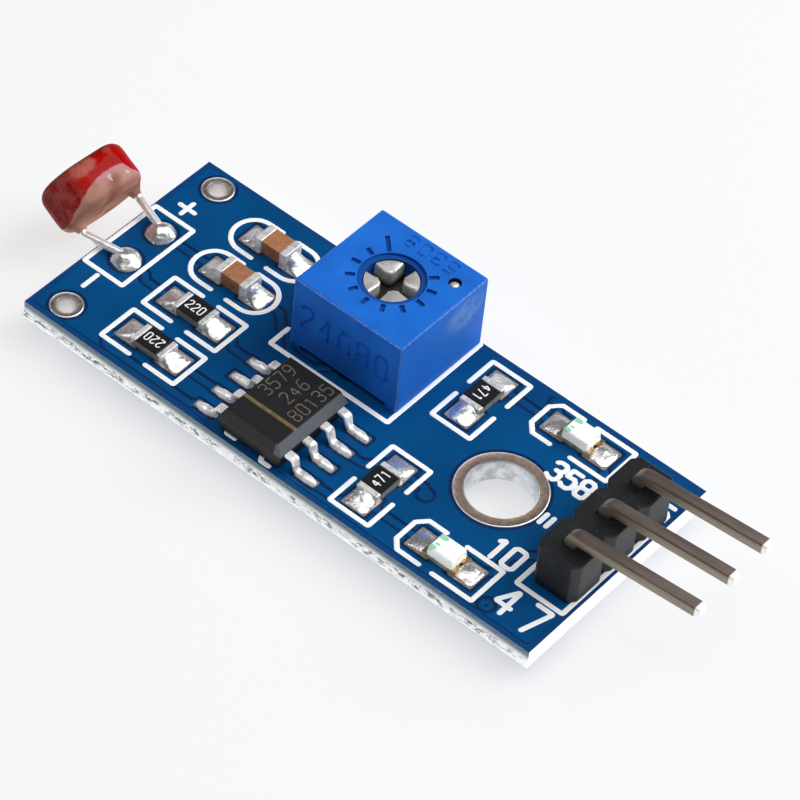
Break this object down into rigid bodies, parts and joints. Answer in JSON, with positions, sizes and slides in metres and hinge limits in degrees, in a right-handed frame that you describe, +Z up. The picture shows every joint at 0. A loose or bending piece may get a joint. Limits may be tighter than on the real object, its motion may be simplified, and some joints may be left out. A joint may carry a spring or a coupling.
{
  "type": "light sensor module",
  "caption": "Small blue circuit board with a photoresistor, a screwdriver trimmer, a comparator chip and a bent pin header.",
  "frame": {"origin": "middle of the whole module, below it on the surface that the trimmed pins stand on", "axes": "+X along the board from the photoresistor to the pin header, +Z up out of the board, +Y across it"},
  "size_m": [0.0412, 0.0134, 0.0067],
  "materials": {
    "board_mask": "blue solder mask over glass laminate",
    "tin": "tinned metal and solder",
    "cell_resin": "clear red resin over ceramic",
    "cell_track": "sensing film",
    "trimmer_blue": "moulded, slightly worn",
    "rotor_metal": "plated metal",
    "spring_brass": "spring strip",
    "seal_rubber": "soft",
    "ceramic": "fired ceramic",
    "chip_epoxy": "moulded epoxy",
    "resistor_coat": "black glass coat",
    "capacitor_ceramic": "fired ceramic",
    "led_laminate": "white laminate",
    "led_lens": "milky clear resin",
    "header_plastic": "moulded"
  },
  "bodies": {
    "module": {"capacitor_1_body": "capacitor_ceramic", "capacitor_1_end_a": "tin", "capacitor_1_end_b": "tin", "capacitor_2_body": "capacitor_ceramic", "capacitor_2_end_a": "tin", "capacitor_2_end_b": "tin", "circuit_board": "board_mask", "comparator_body": "chip_epoxy", "comparator_lead_1": "tin", "comparator_lead_2": "tin", "comparator_lead_3": "tin", "comparator_lead_4": "tin", "comparator_lead_5": "tin", "comparator_lead_6": "tin", "comparator_lead_7": "tin", "comparator_lead_8": "tin", "corner_eyelet_left": "tin", "corner_eyelet_right": "tin", "header_housing": "header_plastic", "header_pin_1": "tin", "header_pin_2": "tin", "header_pin_3": "tin", "led_1_base": "led_laminate", "led_1_end_a": "tin", "led_1_end_b": "tin", "led_1_lens": "led_lens", "led_2_base": "led_laminate", "led_2_end_a": "tin", "led_2_end_b": "tin", "led_2_lens": "led_lens", "light_cell_body": "cell_resin", "light_cell_lead_minus": "tin", "light_cell_lead_plus": "tin", "light_cell_track": "cell_track", "mounting_hole_plating": "tin", "resistor_1_body": "resistor_coat", "resistor_1_end_a": "tin", "resistor_1_end_b": "tin", "resistor_2_body": "resistor_coat", "resistor_2_end_a": "tin", "resistor_2_end_b": "tin", "resistor_3_body": "resistor_coat", "resistor_3_end_a": "tin", "resistor_3_end_b": "tin", "resistor_4_body": "resistor_coat", "resistor_4_end_a": "tin", "resistor_4_end_b": "tin", "trimmer_base": "trimmer_blue", "trimmer_housing": "trimmer_blue", "trimmer_pin_1": "tin", "trimmer_pin_2": "tin", "trimmer_pin_3": "tin", "trimmer_resistor_element": "ceramic"},
    "rotor": {"trimmer_rotor": "rotor_metal", "trimmer_wiper": "spring_brass", "trimmer_seal_ring": "seal_rubber"}
  },
  "joints": [
    {"name": "rotor_turn", "type": "hinge", "parent": "module", "child": "rotor", "pos_m": [-0.00231, 0.00342, 0.0065], "axis": [0, 0, 1], "range_deg": [-130, 130]}
  ]
}
